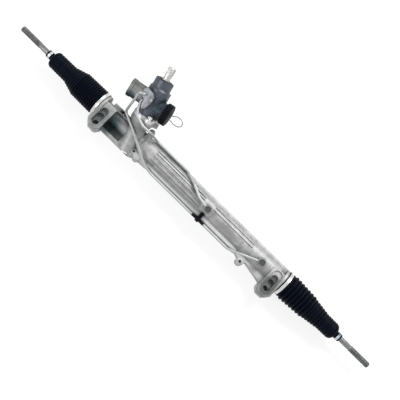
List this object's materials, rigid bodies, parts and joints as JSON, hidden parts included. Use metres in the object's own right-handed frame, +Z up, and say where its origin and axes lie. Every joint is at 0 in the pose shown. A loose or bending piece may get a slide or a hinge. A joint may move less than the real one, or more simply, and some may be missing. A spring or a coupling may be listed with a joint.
{
  "type": "steering rack",
  "caption": "Hydraulic power steering rack in a ribbed cast housing, with rotary valve, pipes, bellows and inner tie rods.",
  "frame": {"origin": "midway between the two mounting bolts, on the face that they clamp against the vehicle", "axes": "+X along the rack towards its plain end, +Y from the mounting bolts towards the valve, +Z up, out of the mounting face"},
  "size_m": [1.256, 0.2392, 0.171],
  "materials": {
    "casting": "die-cast, satin",
    "valve_metal": "dark, satin",
    "bolt_steel": "zinc plated",
    "bearing_steel": "ground",
    "cap_steel": "plated",
    "seal_rubber": "matt",
    "yoke_alloy": "machined",
    "spring_steel": "bright",
    "bush_metal": "machined",
    "coil_metal": "satin",
    "black_plastic": "matt",
    "wire": "bright",
    "plate_metal": "cast, bright",
    "pipe_steel": "zinc plated",
    "banjo_steel": "phosphated",
    "clamp_steel": "stainless",
    "clip_steel": "plated",
    "boot_rubber": "semi-gloss",
    "rack_steel": "ground",
    "piston_steel": "machined",
    "ring_plastic": "matt",
    "socket_steel": "machined",
    "gear_steel": "machined",
    "shaft_steel": "ground",
    "seat_plastic": "matt",
    "rod_steel": "plated"
  },
  "bodies": {
    "housing": {"rack_housing": "casting", "valve_housing": "valve_metal", "flange_bolts": "bolt_steel", "pinion_bearing": "bearing_steel", "foot_bearing": "bearing_steel", "bottom_cap": "cap_steel", "shaft_bearing": "bearing_steel", "shaft_seal": "seal_rubber", "valve_cover": "seal_rubber", "yoke": "yoke_alloy", "yoke_plug": "cap_steel", "yoke_spring": "spring_steel", "rack_bush": "bush_metal", "rack_seals": "seal_rubber", "valve_coil": "coil_metal", "coil_cap": "black_plastic", "wire_bail": "wire", "pipe_plate": "plate_metal", "plate_bolt": "bolt_steel", "pipe_right": "pipe_steel", "pipe_left": "pipe_steel", "banjo_eyes": "pipe_steel", "banjo_bolts": "banjo_steel", "pipe_clip": "black_plastic", "bellows_clamp_left": "clamp_steel", "bellows_clamp_right": "clamp_steel", "bellows_left": "boot_rubber", "bellows_right": "boot_rubber"},
    "rack": {"rack_bar": "rack_steel", "piston": "piston_steel", "piston_ring": "ring_plastic", "ball_socket_left": "socket_steel", "ball_socket_right": "socket_steel"},
    "pinion": {"pinion": "gear_steel", "pinion_nut": "gear_steel", "valve_sleeve": "gear_steel", "sleeve_rings": "ring_plastic"},
    "input": {"input_shaft": "shaft_steel", "torsion_bar": "spring_steel"},
    "seat_left": {"ball_seat_left": "seat_plastic"},
    "seat_right": {"ball_seat_right": "seat_plastic"},
    "rod_left": {"tie_rod_left": "rod_steel", "bellows_clip_left": "clip_steel"},
    "rod_right": {"tie_rod_right": "rod_steel", "bellows_clip_right": "clip_steel"}
  },
  "joints": [
    {"name": "rack_slide", "type": "slide", "parent": "housing", "child": "rack", "axis": [1, 0, 0], "range_m": [-0.089, 0.063], "deforming": ["bellows_left", "bellows_right"]},
    {"name": "pinion_turn", "type": "hinge", "parent": "housing", "child": "pinion", "pos_m": [-0.211, 0.03794, 0.0545], "axis": [-0.1908, 0.8325, 0.5202], "range_deg": [-442.92, 625.71]},
    {"name": "input_twist", "type": "hinge", "parent": "pinion", "child": "input", "pos_m": [-0.211, 0.03794, 0.0545], "axis": [-0.1908, 0.8325, 0.5202], "range_deg": [-4, 4], "stiffness_Nm_per_rad": 60},
    {"name": "left_rod_up_down", "type": "hinge", "parent": "rack", "child": "seat_left", "pos_m": [-0.413, 0.047, 0.04], "axis": [0, 1, 0], "range_deg": [-16, 16]},
    {"name": "left_rod_fore_aft", "type": "hinge", "parent": "seat_left", "child": "rod_left", "pos_m": [-0.413, 0.047, 0.04], "axis": [0, 0, 1], "range_deg": [-12, 12]},
    {"name": "right_rod_up_down", "type": "hinge", "parent": "rack", "child": "seat_right", "pos_m": [0.439, 0.047, 0.04], "axis": [0, 1, 0], "range_deg": [-16, 16]},
    {"name": "right_rod_fore_aft", "type": "hinge", "parent": "seat_right", "child": "rod_right", "pos_m": [0.439, 0.047, 0.04], "axis": [0, 0, 1], "range_deg": [-12, 12]}
  ],
  "couplings": [
    {"joint": "pinion_turn", "follows": "rack_slide", "rad_per_m": -122.7}
  ]
}
